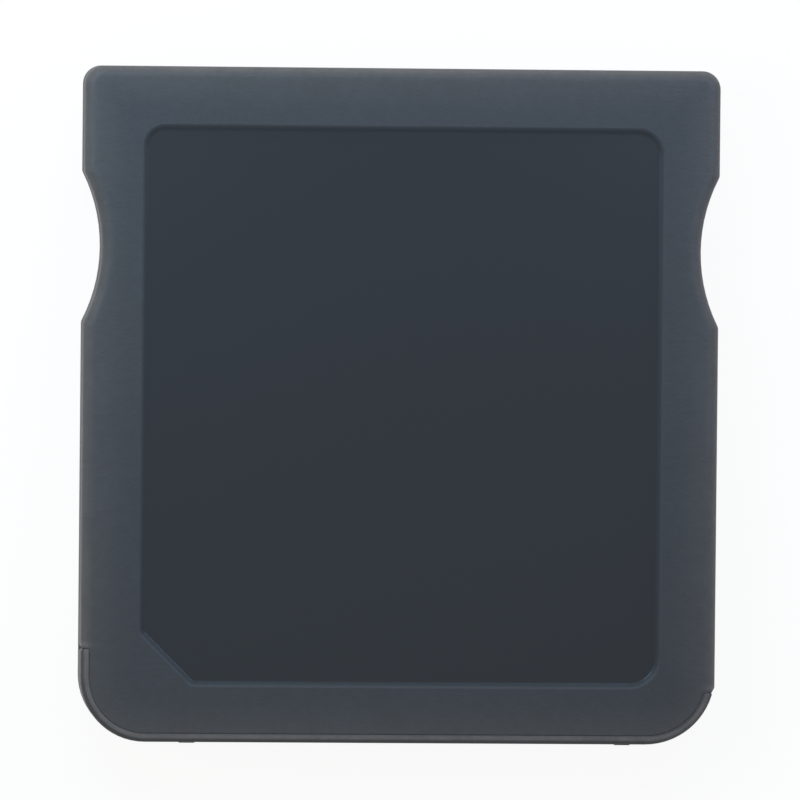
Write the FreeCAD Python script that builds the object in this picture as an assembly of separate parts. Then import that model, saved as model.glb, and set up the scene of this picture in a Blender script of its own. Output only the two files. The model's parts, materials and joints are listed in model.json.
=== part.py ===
"""Flash cartridge for a handheld game console: a two-part moulded shell round a circuit board.

Millimetres. X runs across the card, Y from the nose that enters the console to the grip end, and
Z from the back face, which carries the contact windows, to the label side. The origin is the
centre of the back face.
"""

import FreeCAD, Part

import math
import os

from FreeCAD import Vector

# Card outline, seen from the label side
card_width = 33.0
card_length = 35.0
grip_corner_radius = 0.95
nose_radius_left = 3.35
nose_radius_right = 3.65
scoop_radius = 8.5
scoop_depth = 0.95
scoop_from_grip_end = 9.4
scoop_end_radius = 0.4
least_corner_radius = 0.2

# Layers through the thickness, from the back face up
back_floor = 0.8
board_thickness = 0.6
part_room = 1.45
front_plate = 0.95

# Shell walls, the seam between the two shells and the rounding of their edges
side_wall = 0.9
seam_above_board = 0.3
tongue_wall = 0.4
tongue_height = 0.45
tongue_from_rim = 0.5
seam_clearance = 0.05
seam_bevel = 0.08
face_edge_radius = 0.5
back_edge_bevel = 0.3

# Rim of the back shell that wraps the nose outside the front shell
rim_wall = 0.45
rim_gap = 0.01
rim_end_left = 4.8
rim_end_right = 2.7
rim_edge_radius = 0.25
skirt_wall = 0.6

# Nicks in the two sides where the rim ends, and how far they spread along the side for their depth
nick_depth_left = 0.1
nick_depth_right = 0.2
nick_spread = 1.5

# Hooks of the front shell that catch in the rim
hook_places = (-10.95, 11.7)
hook_width = 0.8
hook_height = 0.6
hook_lip = 0.25
hook_below_face = 0.5
hook_proud = 0.05
hook_clearance = 0.08

# Label recess in the front face: its floor, and walls that slope out to the face
label_left_margin = 3.3
label_right_margin = 3.17
label_nose_margin = 3.18
label_grip_margin = 3.3
label_depth = 0.15
label_wall_run = 0.3
label_radius_grip_left = 0.85
label_radius_grip_right = 1.15
label_radius_nose_right = 1.35
label_cut_corner = 2.54
label_cut_radius = 0.25

# Contact comb in the nose
contact_count = 17
contact_pitch = 1.5
contact_width = 0.96
contact_thickness = 0.04
window_clearance = 0.07
window_length = 7.4
pad_edge_gap = 0.25
ramp_mouth = 0.42

# Locating pegs at the grip end, which pass through the board into bosses, and clamp posts at the nose
peg_radius = 0.8
peg_fit = 0.05
peg_end_room = 0.1
boss_wall = 0.55
boss_hole_depth = 0.15
board_hole_clearance = 0.1
peg_from_edge = 2.9
peg_from_end = 2.9
post_width = 1.2
post_length = 2.4
post_from_edge = 2.2
post_past_windows = 1.8

# Circuit board
board_clearance = 0.2

# Memory card socket and the slot that leads to it
memory_card_width = 11.0
memory_card_fit = 0.075
card_slot_side_room = 0.25
card_slot_lead_in = 0.2
socket_length = 12.6
socket_floor = 0.35
socket_rail = 0.6
socket_rear_wall = 0.6
socket_cover_sheet = 0.18
socket_cover_fit = 0.05
socket_cover_bend = 0.22
socket_headroom = 0.1
cover_window_width = 2.6
cover_window_length = 4.2
cover_window_offset = 3.2
cover_window_from_mouth = 2.2
cover_tongue_width = 1.5
cover_tongue_length = 3.4
spring_count = 8
spring_pitch = 1.1
spring_width = 0.5
spring_sheet = 0.12
spring_slot_room = 0.1
spring_tail = 0.7
spring_anchor = 1.0
spring_reach = 4.4
spring_rise = 0.5
spring_tip = 0.8
spring_tip_drop = 0.2
spring_slot_past_tip = 0.4

# Chips with leads: each body is its width along X, length along Y and height
controller_body = (7.0, 7.0, 1.0)
controller_leads_per_side = 8
controller_pitch = 0.8
controller_lead_width = 0.37
boot_body = (4.4, 3.0, 0.9)
boot_leads_per_side = 4
boot_pitch = 0.65
boot_lead_width = 0.25
regulator_body = (2.9, 1.6, 1.1)
regulator_pitch = 0.95
regulator_lead_width = 0.4
chip_stand_off = 0.1
chip_edge_bevel = 0.12
chip_mark_radius = 0.35
chip_mark_inset = 0.9
chip_mark_depth = 0.06
lead_sheet = 0.13
lead_shoulder = 0.2
lead_slope = 0.3
lead_foot = 0.5

# Parts with end terminals: length, width and height
crystal_size = (3.2, 2.5, 0.75)
crystal_lid_height = 0.25
crystal_lid_step = 0.12
bulk_capacitor_size = (1.6, 0.8, 0.8)
small_capacitor_size = (1.0, 0.5, 0.5)
resistor_size = (1.0, 0.5, 0.35)
resistor_array_size = (2.0, 1.0, 0.45)
terminal_length = 0.22
terminal_step = 0.03

# Layout of the board: X from the middle or in from the right edge, and Y back from the rear of the
# card socket or ahead of the inner end of the contact windows
controller_x = -4.6
controller_back = 6.0
boot_x = 4.4
boot_back = 4.0
crystal_x = 3.8
crystal_back = 8.0
regulator_in = 6.6
regulator_back = 8.4
edge_capacitors_in = 5.2
edge_capacitors_back = (3.0, 4.6)
supply_capacitors_x = (5.4, 7.9)
supply_capacitors_back = 11.8
nose_capacitors_x = (-7.0, -4.6, -2.2)
nose_capacitors_back = 11.7
middle_capacitors_x = 0.8
middle_capacitors_back = (6.6, 8.2, 9.8)
resistors_x = (-8.0, -6.2, -4.4, -2.6, -0.8, 1.0)
resistor_arrays_x = (4.0, 7.0)
resistors_ahead = 3.0

# Levels and edges that follow from the sizes above
board_top = back_floor + board_thickness
seam_level = board_top + seam_above_board
plate_bottom = board_top + part_room
card_thickness = plate_bottom + front_plate
label_floor = card_thickness - label_depth
nose_end = -card_length / 2
grip_end = card_length / 2
scoop_level = grip_end - scoop_from_grip_end
rim_inner = rim_wall + rim_gap
label_left = -card_width / 2 + label_left_margin
label_right = card_width / 2 - label_right_margin
label_nose = nose_end + label_nose_margin
label_grip = grip_end - label_grip_margin
board_inset = side_wall + board_clearance
board_half_width = card_width / 2 - board_inset
board_nose = nose_end + board_inset
board_grip = grip_end - board_inset
window_end = nose_end + window_length
window_width = contact_width + 2 * window_clearance
contact_plane = back_floor - contact_thickness
slot_half_width = memory_card_width / 2 + card_slot_side_room
socket_rear = board_grip - socket_length
socket_top = board_top + part_room - socket_headroom
pocket_floor = board_top + socket_floor
pocket_top = socket_top - socket_cover_sheet
pocket_half_width = memory_card_width / 2 + memory_card_fit
base_half_width = pocket_half_width + socket_rail
cover_half_width = base_half_width + socket_cover_fit + socket_cover_sheet
boss_radius = peg_radius + peg_fit + boss_wall
peg_top = plate_bottom + boss_hole_depth - peg_end_room
peg_places = [(side * (board_half_width - peg_from_edge), board_grip - peg_from_end) for side in (-1, 1)]
post_x = board_half_width - post_from_edge
post_places = [(side * post_x, window_end + post_past_windows) for side in (-1, 1)]

# How far a cutting solid runs past what it cuts
spill = 1.0


def behind_socket(x, back):
    """Place on the board at an X, set back from the rear of the card socket."""
    return x, socket_rear - back


def beside_edge(inset, back):
    """Place on the board set in from its right edge and back from the rear of the card socket."""
    return board_half_width - inset, socket_rear - back


def over_contacts(x):
    """Place on the board at an X, ahead of the inner end of the contact windows."""
    return x, window_end - resistors_ahead


# Places of the parts on the board
controller_place = behind_socket(controller_x, controller_back)
boot_place = behind_socket(boot_x, boot_back)
crystal_place = behind_socket(crystal_x, crystal_back)
regulator_place = beside_edge(regulator_in, regulator_back)
bulk_capacitor_places = [beside_edge(edge_capacitors_in, back) for back in edge_capacitors_back]
bulk_capacitor_places += [behind_socket(x, supply_capacitors_back) for x in supply_capacitors_x]
small_capacitor_places = [behind_socket(x, nose_capacitors_back) for x in nose_capacitors_x]
small_capacitor_places += [behind_socket(middle_capacitors_x, back) for back in middle_capacitors_back]
resistor_places = [over_contacts(x) for x in resistors_x]
resistor_array_places = [over_contacts(x) for x in resistor_arrays_x]


def row(count, pitch):
    """Offsets of an evenly spaced row about its middle."""
    return [(index - (count - 1) / 2) * pitch for index in range(count)]


def arc(centre_x, centre_y, radius, start, end):
    """Arc edge about a centre in the plane of the card, from one angle to another in degrees."""

    def point(angle):
        turn = math.radians(angle)
        return Vector(centre_x + radius * math.cos(turn), centre_y + radius * math.sin(turn), 0)

    return Part.Arc(point(start), point((start + end) / 2), point(end)).toShape()


def closed_face(arcs):
    """Face inside the arcs taken in order, with straight edges between neighbours that stand apart."""
    edges = []
    for this, following in zip(arcs, arcs[1:] + arcs[:1]):
        edges.append(this)
        start = this.valueAt(this.LastParameter)
        end = following.valueAt(following.FirstParameter)
        if start.distanceToPoint(end) > 1e-6:
            edges.append(Part.makeLine(start, end))
    return Part.Face(Part.Wire(edges))


def slab(face, bottom, top):
    """Straight solid on a face of the plane z = 0, between two levels."""
    return face.translated(Vector(0, 0, bottom)).extrude(Vector(0, 0, top - bottom))


def block(x0, x1, y0, y1, z0, z1):
    """Box between two limits along each axis."""
    return Part.makeBox(x1 - x0, y1 - y0, z1 - z0, Vector(x0, y0, z0))


def post(x, y, radius, bottom, top):
    """Upright cylinder between two levels."""
    return Part.makeCylinder(radius, top - bottom, Vector(x, y, bottom))


def edges_at(solid, level):
    """Edges of a solid that lie flat at a level."""
    near = 1e-4
    boxes = [(edge, edge.BoundBox) for edge in solid.Edges]
    return [edge for edge, box in boxes if abs(box.ZMin - level) < near and abs(box.ZMax - level) < near]


def strip(points, thickness):
    """Closed polygon of a sheet of even thickness that follows a bent middle line of (u, v) points."""
    ways = []
    for (u0, v0), (u1, v1) in zip(points, points[1:]):
        run = math.hypot(u1 - u0, v1 - v0)
        ways.append(((u1 - u0) / run, (v1 - v0) / run))
    left, right = [], []
    for index, (u, v) in enumerate(points):
        before = ways[max(index - 1, 0)]
        after = ways[min(index, len(ways) - 1)]
        across = (-before[1] - after[1], before[0] + after[0])
        share = thickness / 2 / (1 + before[0] * after[0] + before[1] * after[1])
        left.append((u + across[0] * share, v + across[1] * share))
        right.append((u - across[0] * share, v - across[1] * share))
    return left + right[::-1]


def prism_along_x(profile, x0, x1):
    """Solid of a (y, z) profile carried from one X to another."""
    corners = [Vector(x0, y, z) for y, z in profile]
    return Part.Face(Part.makePolygon(corners + corners[:1])).extrude(Vector(x1 - x0, 0, 0))


def prism_along_y(profile, y0, y1):
    """Solid of an (x, z) profile carried from one Y to another."""
    corners = [Vector(x, y0, z) for x, z in profile]
    return Part.Face(Part.makePolygon(corners + corners[:1])).extrude(Vector(0, y1 - y0, 0))


def card_face(inset, nose_left=nose_radius_left, nose_right=nose_radius_right):
    """Plan of the card with both grip scoops, moved inwards by inset."""
    half_width = card_width / 2 - inset
    grip = grip_end - inset
    nose = nose_end + inset
    grip_radius = max(grip_corner_radius - inset, least_corner_radius)
    left_round = max(nose_left - inset, least_corner_radius)
    right_round = max(nose_right - inset, least_corner_radius)
    scoop = scoop_radius + inset
    end_round = max(scoop_end_radius - inset, least_corner_radius)
    scoop_x = card_width / 2 - scoop_depth + scoop_radius
    end_x = half_width - end_round
    end_y = math.sqrt((scoop + end_round) ** 2 - (scoop_x - end_x) ** 2)
    turn = math.degrees(math.asin(end_y / (scoop + end_round)))
    return closed_face([
        arc(half_width - right_round, nose + right_round, right_round, -90, 0),
        arc(end_x, scoop_level - end_y, end_round, 0, turn),
        arc(scoop_x, scoop_level, scoop, 180 + turn, 180 - turn),
        arc(end_x, scoop_level + end_y, end_round, -turn, 0),
        arc(half_width - grip_radius, grip - grip_radius, grip_radius, 0, 90),
        arc(-half_width + grip_radius, grip - grip_radius, grip_radius, 90, 180),
        arc(-end_x, scoop_level + end_y, end_round, 180, 180 + turn),
        arc(-scoop_x, scoop_level, scoop, turn, -turn),
        arc(-end_x, scoop_level - end_y, end_round, 180 - turn, 180),
        arc(-half_width + left_round, nose + left_round, left_round, 180, 270),
    ])


def label_face(grow):
    """Plan of the label recess, grown all round: three rounded corners, and the nose-left corner cut off."""
    left = label_left - grow
    right = label_right + grow
    nose = label_nose - grow
    grip = label_grip + grow
    nose_right = label_radius_nose_right + grow
    grip_right = label_radius_grip_right + grow
    grip_left = label_radius_grip_left + grow
    cut_round = label_cut_radius + grow
    cut_middle = label_cut_corner + label_cut_radius * math.tan(math.radians(22.5))
    return closed_face([
        arc(right - nose_right, nose + nose_right, nose_right, -90, 0),
        arc(right - grip_right, grip - grip_right, grip_right, 0, 90),
        arc(left + grip_left, grip - grip_left, grip_left, 90, 180),
        arc(left + cut_round, label_nose + cut_middle, cut_round, 180, 225),
        arc(label_left + cut_middle, nose + cut_round, cut_round, 225, 270),
    ])


def label_space():
    """What the label recess takes out of the front face."""
    floor = label_face(0).translated(Vector(0, 0, label_floor))
    mouth = label_face(label_wall_run).translated(Vector(0, 0, card_thickness))
    walls = Part.makeLoft([floor.OuterWire, mouth.OuterWire], True, True)
    return walls.fuse(mouth.extrude(Vector(0, 0, spill)))


def nose_zone(gap):
    """Space round the nose that the rim takes, shorter by a gap; the two sides end at their own heights."""
    low, high = -spill, card_thickness + spill
    reach = card_width / 2 + spill
    left = block(-reach, 0, nose_end - spill, nose_end + rim_end_left - gap, low, high)
    right = block(0, reach, nose_end - spill, nose_end + rim_end_right - gap, low, high)
    return left.fuse(right)


def rim_space():
    """What the rim leaves open for the front shell."""
    return slab(card_face(rim_wall), seam_level, card_thickness + spill).common(nose_zone(0))


def side_nick(side, rim_end, depth):
    """Notch down one side where the rim ends, sloped evenly to both sides of its line."""
    surface = side * card_width / 2
    line = nose_end + rim_end
    reach = nick_spread * (depth + spill)
    tip = Vector(surface - side * depth, line, 0)
    mouth = [Vector(surface + side * spill, line + way * reach, 0) for way in (-1, 1)]
    return slab(Part.Face(Part.makePolygon([tip, *mouth, tip])), seam_level, card_thickness + spill)


def both_nicks():
    """The nicks of both sides."""
    left = side_nick(-1, rim_end_left, nick_depth_left)
    return left.fuse(side_nick(1, rim_end_right, nick_depth_right))


def seam_zone(gap):
    """Space past the ends of the rim where the tongue runs, shorter by a gap."""
    reach = card_width / 2 + spill
    start = nose_end + max(rim_end_left, rim_end_right) + tongue_from_rim + gap
    return block(-reach, reach, start, grip_end + spill, -spill, card_thickness + spill)


def hook(middle):
    """One hook of the front shell: flat on top to catch in the rim, and sloped below to slide in."""
    top = card_thickness - hook_below_face
    inner = nose_end + rim_inner + skirt_wall / 2
    outer = nose_end - hook_proud
    profile = [
        (inner, top),
        (outer, top),
        (outer, top - hook_lip),
        (nose_end + rim_inner, top - hook_height),
        (inner, top - hook_height),
    ]
    return prism_along_x(profile, middle - hook_width / 2, middle + hook_width / 2)


def hook_window(middle):
    """Opening of the rim that one hook catches in, larger by a clearance all round."""
    top = card_thickness - hook_below_face
    half = hook_width / 2 + hook_clearance
    return block(middle - half, middle + half, nose_end - spill, nose_end + rim_inner,
                 top - hook_height - hook_clearance, top + hook_clearance)


def card_slot_space():
    """Slot for the memory card through both shells at the grip end, flared at its mouth."""
    flare = card_slot_lead_in
    profile = [
        (grip_end - side_wall - spill, seam_level),
        (grip_end - flare, seam_level),
        (grip_end + spill, seam_level - flare - spill),
        (grip_end + spill, plate_bottom + flare + spill),
        (grip_end - flare, plate_bottom),
        (grip_end - side_wall - spill, plate_bottom),
    ]
    return prism_along_x(profile, -slot_half_width, slot_half_width)


def front_shell():
    """Lid with the label recess, side walls, skirt behind the rim, hooks, bosses and clamp posts."""
    straight_side = min(rim_end_left, rim_end_right)
    outer = slab(card_face(0, straight_side, straight_side), seam_level, card_thickness)
    outer = outer.makeFillet(face_edge_radius, edges_at(outer, card_thickness))
    outer = outer.makeChamfer(seam_bevel, edges_at(outer, seam_level))
    core = slab(card_face(rim_inner), seam_level, card_thickness)
    shell = outer.cut(nose_zone(0).cut(core)).cut(label_space()).cut(both_nicks())
    low = seam_level - spill
    skirt_line = nose_end + rim_inner + skirt_wall
    inside = block(-card_width, card_width, skirt_line, grip_end, low, plate_bottom)
    shell = shell.cut(slab(card_face(side_wall), low, plate_bottom).common(inside))
    rebate = slab(card_face(side_wall - tongue_wall - seam_clearance), low,
                  seam_level + tongue_height + seam_clearance)
    shell = shell.cut(rebate.common(seam_zone(-seam_clearance))).cut(card_slot_space())
    boss_end = plate_bottom + boss_hole_depth
    for x, y in peg_places:
        shell = shell.fuse(post(x, y, boss_radius, board_top, boss_end))
        shell = shell.cut(post(x, y, peg_radius + peg_fit, board_top - spill, boss_end))
    for x, y in post_places:
        shell = shell.fuse(block(x - post_width / 2, x + post_width / 2, y - post_length / 2,
                                 y + post_length / 2, board_top, boss_end))
    for middle in hook_places:
        shell = shell.fuse(hook(middle))
    return shell.removeSplitter()


def back_shell():
    """Tray with the contact comb, the rim round the nose, the seam tongue and the locating pegs."""
    plan = card_face(0)
    low = slab(plan, 0, seam_level)
    low = low.makeChamfer(back_edge_bevel, edges_at(low, 0))
    low = low.makeChamfer(seam_bevel, edges_at(low, seam_level))
    tall = slab(plan, 0, card_thickness)
    tall = tall.makeChamfer(back_edge_bevel, edges_at(tall, 0))
    tall = tall.makeFillet(rim_edge_radius, edges_at(tall, card_thickness))
    tongue = slab(card_face(side_wall - tongue_wall), back_floor / 2, seam_level + tongue_height)
    shell = low.fuse(tall.common(nose_zone(rim_gap)))
    shell = shell.fuse(tongue.common(seam_zone(0)))
    shell = shell.cut(slab(card_face(side_wall), back_floor, card_thickness + spill))
    shell = shell.cut(rim_space()).cut(both_nicks()).cut(card_slot_space())
    window = [
        (nose_end - spill, -spill),
        (nose_end - spill, ramp_mouth),
        (nose_end, ramp_mouth),
        (nose_end + side_wall, contact_plane),
        (nose_end + side_wall, seam_level),
        (window_end, seam_level),
        (window_end, -spill),
    ]
    for x in row(contact_count, contact_pitch):
        shell = shell.cut(prism_along_x(window, x - window_width / 2, x + window_width / 2))
    for middle in hook_places:
        shell = shell.cut(hook_window(middle))
    for x, y in peg_places:
        shell = shell.fuse(post(x, y, peg_radius, back_floor / 2, peg_top))
    return shell.removeSplitter()


def circuit_board():
    """Board that fills the shell, drilled for the pegs."""
    board = slab(card_face(board_inset), back_floor, board_top)
    for x, y in peg_places:
        hole = peg_radius + board_hole_clearance
        board = board.cut(post(x, y, hole, back_floor - spill, board_top + spill))
    return board


def contact_pads():
    """Plated fingers under the nose end of the board, one behind each window."""
    pads = []
    for x in row(contact_count, contact_pitch):
        pads.append(block(x - contact_width / 2, x + contact_width / 2, board_nose + pad_edge_gap,
                          window_end - window_clearance, contact_plane, back_floor))
    return Part.makeCompound(pads)


def socket_base():
    """Moulded floor, rails and rear wall of the card socket, slotted for the springs."""
    base = block(-base_half_width, base_half_width, socket_rear, board_grip, board_top, pocket_top)
    base = base.cut(block(-pocket_half_width, pocket_half_width, socket_rear + socket_rear_wall,
                          board_grip + spill, pocket_floor, pocket_top + spill))
    slot_half = spring_width / 2 + spring_slot_room
    slot_end = socket_rear + spring_anchor + spring_reach + spring_tip + spring_slot_past_tip
    for x in row(spring_count, spring_pitch):
        base = base.cut(block(x - slot_half, x + slot_half, socket_rear - spill, slot_end,
                              board_top - spill, pocket_floor))
    return base


def socket_cover():
    """Folded steel cover over the socket, with two windows and a hold-down tongue left in each."""
    middle = cover_half_width - socket_cover_sheet / 2
    level = socket_top - socket_cover_sheet / 2
    line = [(-middle, board_top), (-middle, level), (middle, level), (middle, board_top)]
    cover = prism_along_y(strip(line, socket_cover_sheet), socket_rear, board_grip)
    corners = [edge for edge in edges_at(cover, socket_top) if edge.BoundBox.YLength > socket_length / 2]
    cover = cover.makeFillet(socket_cover_bend, corners)
    window_far = board_grip - cover_window_from_mouth
    for side in (-1, 1):
        x = side * cover_window_offset
        window = block(x - cover_window_width / 2, x + cover_window_width / 2,
                       window_far - cover_window_length, window_far, pocket_top - spill, socket_top + spill)
        tongue = block(x - cover_tongue_width / 2, x + cover_tongue_width / 2,
                       window_far - cover_tongue_length, window_far, pocket_top - spill, socket_top + spill)
        cover = cover.cut(window.cut(tongue))
    return cover


def socket_spring(x):
    """One sprung contact: a tail on the board and a blade that rises into the pocket to a turned tip."""
    half = spring_sheet / 2
    anchor = socket_rear + spring_anchor
    crest = anchor + spring_reach
    line = [
        (socket_rear - spring_tail, board_top + half),
        (anchor, board_top + half),
        (crest, board_top + half + spring_rise),
        (crest + spring_tip, board_top + half + spring_rise - spring_tip_drop),
    ]
    return prism_along_x(strip(line, spring_sheet), x - spring_width / 2, x + spring_width / 2)


def chip(place, body):
    """Moulded chip body with bevelled top edges."""
    x, y = place
    width, length, height = body
    bottom = board_top + chip_stand_off
    solid = block(x - width / 2, x + width / 2, y - length / 2, y + length / 2, bottom, bottom + height)
    return solid.makeChamfer(chip_edge_bevel, edges_at(solid, bottom + height))


def chip_mark(place, body):
    """Shallow round mark sunk in a chip's top by its first lead."""
    x, y = place
    width, length, height = body
    top = board_top + chip_stand_off + height
    mark_x = x - width / 2 + chip_mark_inset
    mark_y = y - length / 2 + chip_mark_inset
    return post(mark_x, mark_y, chip_mark_radius, top - chip_mark_depth, top + spill)


def leads(place, body, sides, width):
    """Gull-wing leads of a chip; sides maps each direction, as an angle, to its offsets along the edge."""
    x, y = place
    exit_level = chip_stand_off + body[2] / 2
    line = [
        (0, exit_level),
        (lead_shoulder, exit_level),
        (lead_shoulder + lead_slope, lead_sheet / 2),
        (lead_shoulder + lead_slope + lead_foot, lead_sheet / 2),
    ]
    made = []
    for angle, offsets in sides.items():
        reach = body[0] / 2 if angle % 180 == 0 else body[1] / 2
        for offset in offsets:
            lead = prism_along_y(strip(line, lead_sheet), -width / 2, width / 2)
            lead.translate(Vector(reach, offset, board_top))
            lead.rotate(Vector(0, 0, 0), Vector(0, 0, 1), angle)
            lead.translate(Vector(x, y, 0))
            made.append(lead)
    return Part.makeCompound(made)


def terminal_part(place, size):
    """Chip part lying on its two end terminals, with the body between them a step smaller."""
    x, y = place
    length, width, height = size
    body = block(x - length / 2, x + length / 2, y - width / 2, y + width / 2, board_top, board_top + height)
    band = length / 2 - terminal_length
    shell = block(x - band, x + band, y - width, y + width, board_top - spill, board_top + height + spill)
    inner = block(x - band - spill, x + band + spill, y - width / 2 + terminal_step,
                  y + width / 2 - terminal_step, board_top + terminal_step,
                  board_top + height - terminal_step)
    return body.cut(shell.cut(inner))


def crystal():
    """Low ceramic package with a metal lid a step in from its edge."""
    x, y = crystal_place
    length, width, height = crystal_size
    half_length = length / 2 - crystal_lid_step
    half_width = width / 2 - crystal_lid_step
    lid_level = board_top + height - crystal_lid_height
    package = block(x - length / 2, x + length / 2, y - width / 2, y + width / 2, board_top, lid_level)
    lid = block(x - half_length, x + half_length, y - half_width, y + half_width, lid_level,
                board_top + height)
    return package.fuse(lid)


def pieces():
    """Every piece of the cartridge by name."""
    quad = row(controller_leads_per_side, controller_pitch)
    pair = row(boot_leads_per_side, boot_pitch)
    made = {
        "front_shell": front_shell(),
        "back_shell": back_shell(),
        "circuit_board": circuit_board(),
        "contact_pads": contact_pads(),
        "card_socket_base": socket_base(),
        "card_socket_cover": socket_cover(),
        "controller_chip": chip(controller_place, controller_body).cut(
            chip_mark(controller_place, controller_body)),
        "controller_leads": leads(controller_place, controller_body,
                                  {angle: quad for angle in (0, 90, 180, 270)}, controller_lead_width),
        "boot_memory_chip": chip(boot_place, boot_body),
        "boot_memory_leads": leads(boot_place, boot_body, {0: pair, 180: pair}, boot_lead_width),
        "voltage_regulator": chip(regulator_place, regulator_body),
        "voltage_regulator_leads": leads(regulator_place, regulator_body,
                                         {90: row(3, regulator_pitch), 270: row(2, 2 * regulator_pitch)},
                                         regulator_lead_width),
        "crystal": crystal(),
    }
    for index, x in enumerate(row(spring_count, spring_pitch), 1):
        made[f"card_spring_{index}"] = socket_spring(x)
    for name, places, size in (
        ("bulk_capacitor", bulk_capacitor_places, bulk_capacitor_size),
        ("small_capacitor", small_capacitor_places, small_capacitor_size),
        ("resistor", resistor_places, resistor_size),
        ("resistor_array", resistor_array_places, resistor_array_size),
    ):
        for index, place in enumerate(places, 1):
            made[f"{name}_{index}"] = terminal_part(place, size)
    return made


os.makedirs("parts", exist_ok=True)
for name, shape in pieces().items():
    shape.exportStep(f"parts/{name}.step")
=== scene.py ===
"""Looks of a flash cartridge for a handheld game console, and the studio that it is seen in.

Metres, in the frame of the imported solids: X runs across the card, Y from the nose that enters the
console to the grip end, and Z from the back face to the label side.
"""

import json
import logging
import math
from collections.abc import Iterable, Sequence
from dataclasses import dataclass, field, replace
from enum import Enum
from typing import ClassVar

import bpy
import numpy as np
from mathutils import Matrix, Vector


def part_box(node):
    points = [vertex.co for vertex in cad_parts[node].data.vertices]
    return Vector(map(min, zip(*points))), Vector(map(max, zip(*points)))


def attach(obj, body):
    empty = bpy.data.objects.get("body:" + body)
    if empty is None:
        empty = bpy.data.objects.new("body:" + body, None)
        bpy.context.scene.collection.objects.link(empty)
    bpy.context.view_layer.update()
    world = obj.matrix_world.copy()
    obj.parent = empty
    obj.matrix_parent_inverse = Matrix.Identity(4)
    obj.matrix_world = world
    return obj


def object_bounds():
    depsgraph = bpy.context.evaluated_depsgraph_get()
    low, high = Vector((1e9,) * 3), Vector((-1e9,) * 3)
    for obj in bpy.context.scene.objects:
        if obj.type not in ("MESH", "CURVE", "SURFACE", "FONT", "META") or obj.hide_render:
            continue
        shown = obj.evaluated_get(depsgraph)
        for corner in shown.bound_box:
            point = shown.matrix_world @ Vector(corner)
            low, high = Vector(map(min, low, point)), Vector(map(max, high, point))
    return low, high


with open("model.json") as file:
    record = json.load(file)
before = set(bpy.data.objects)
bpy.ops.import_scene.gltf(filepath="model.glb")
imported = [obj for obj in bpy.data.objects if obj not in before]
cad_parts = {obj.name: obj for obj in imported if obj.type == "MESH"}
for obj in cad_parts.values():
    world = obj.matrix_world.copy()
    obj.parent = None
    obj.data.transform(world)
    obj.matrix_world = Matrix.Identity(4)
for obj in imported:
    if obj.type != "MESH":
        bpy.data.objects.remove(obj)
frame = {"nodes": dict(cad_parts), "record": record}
cad_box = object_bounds()

MM = 0.001
BODY = "root"

log = logging.getLogger("cartridge")

Colour = tuple[float, float, float, float]
Span = tuple[float, float]
Socket = bpy.types.NodeSocket
Feed = Socket | float | Colour | tuple[float, float, float]
Inputs = dict[str | int, Feed]

WHITE: Colour = (1.0, 1.0, 1.0, 1.0)

# What most of a noise lies between, for one of little detail and for one of more.
FINE_NOISE: Span = (0.25, 0.75)
SLOW_NOISE: Span = (0.3, 0.7)


class Slot(Enum):
    """Names of two material slots in the part's record: the board's and the tin's."""

    BOARD = "board_laminate"
    TIN = "lead_tin"


class Side(Enum):
    """Sides of a chip, by the direction that its leads point in, in radians."""

    RIGHT = 0.0
    GRIP = math.pi / 2
    LEFT = math.pi
    NOSE = -math.pi / 2


def row(count: int, pitch: float) -> np.ndarray:
    """Offsets of an evenly spaced row about its middle."""
    return (np.arange(count) - (count - 1) / 2) * pitch


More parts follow.
